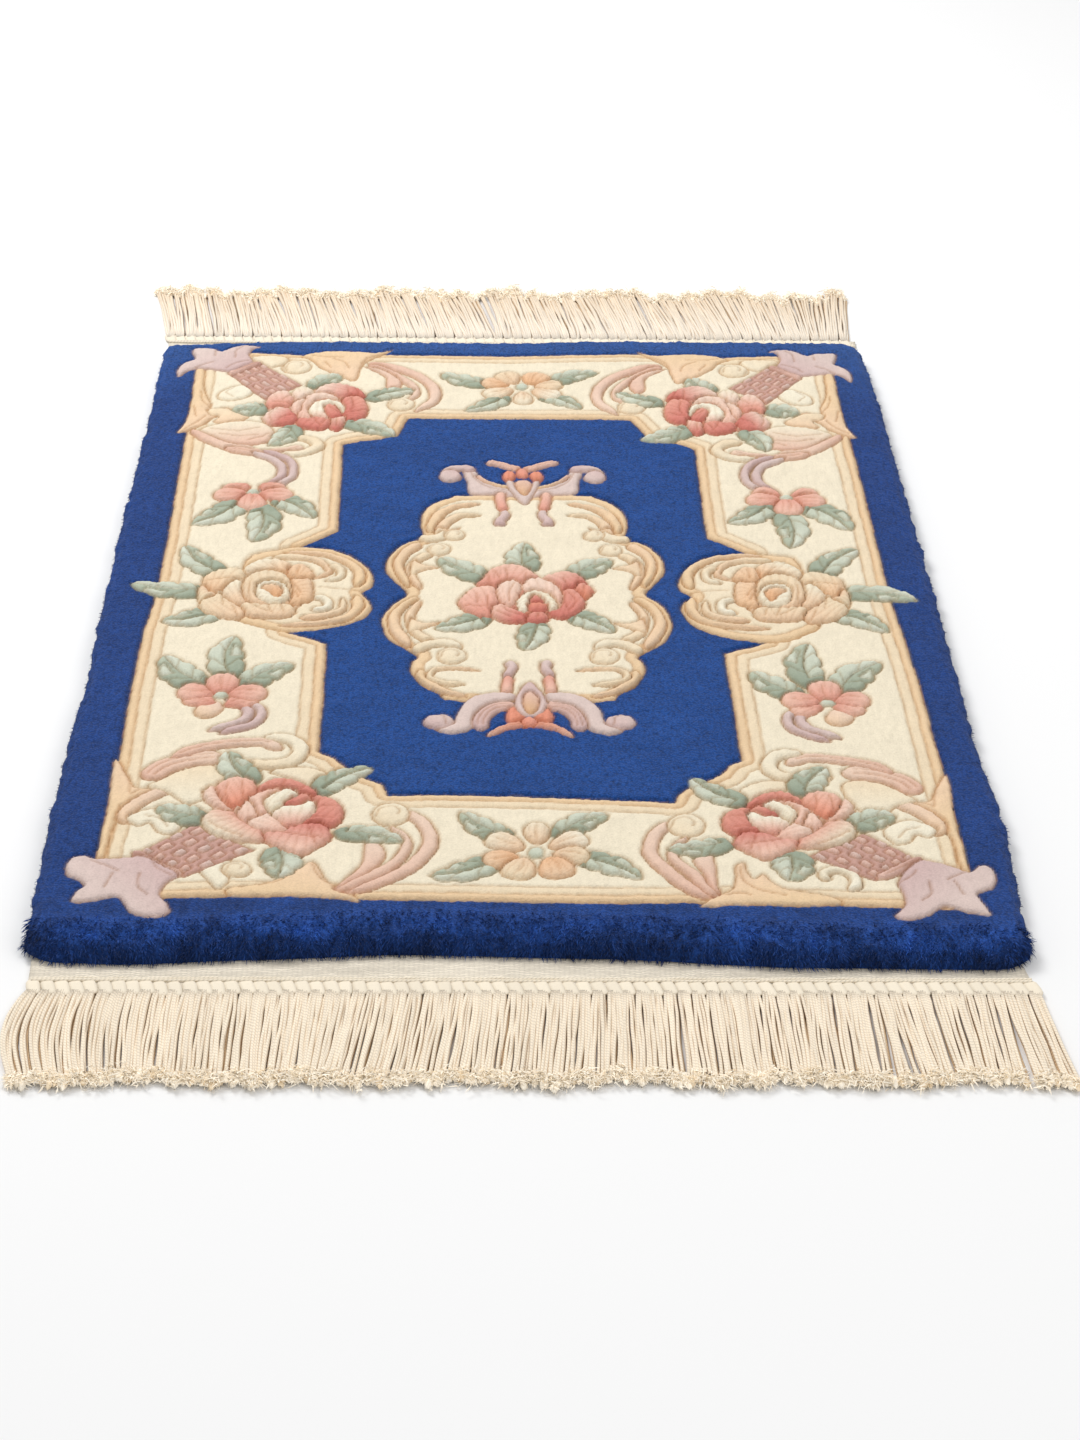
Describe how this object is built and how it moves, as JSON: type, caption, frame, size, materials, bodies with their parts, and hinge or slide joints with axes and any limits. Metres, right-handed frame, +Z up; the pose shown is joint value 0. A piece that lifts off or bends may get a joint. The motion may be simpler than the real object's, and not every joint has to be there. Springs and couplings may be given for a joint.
{
  "type": "carved wool rug",
  "caption": "Small flat wool rug with a carved floral pile, a blue margin and field, a cream border, woven cotton ends and a long cord fringe at both ends.",
  "frame": {"origin": "on the floor, under the middle of the pile, on the flat underside of the woven ground", "axes": "+X across the rug to the right, +Y along the rug to its far fringe, +Z up"},
  "size_m": [0.6382, 1.1924, 0.0175],
  "materials": {
    "pile": "cut wool pile, matt with a soft sheen along the nap",
    "foundation": "plain-woven cotton, matt",
    "fringe_front": "twisted cotton cord, matt",
    "fringe_back": "twisted cotton cord, matt"
  },
  "bodies": {
    "root": {"pile": "pile", "foundation": "foundation", "fringe_front": "fringe_front", "fringe_back": "fringe_back"}
  },
  "joints": []
}
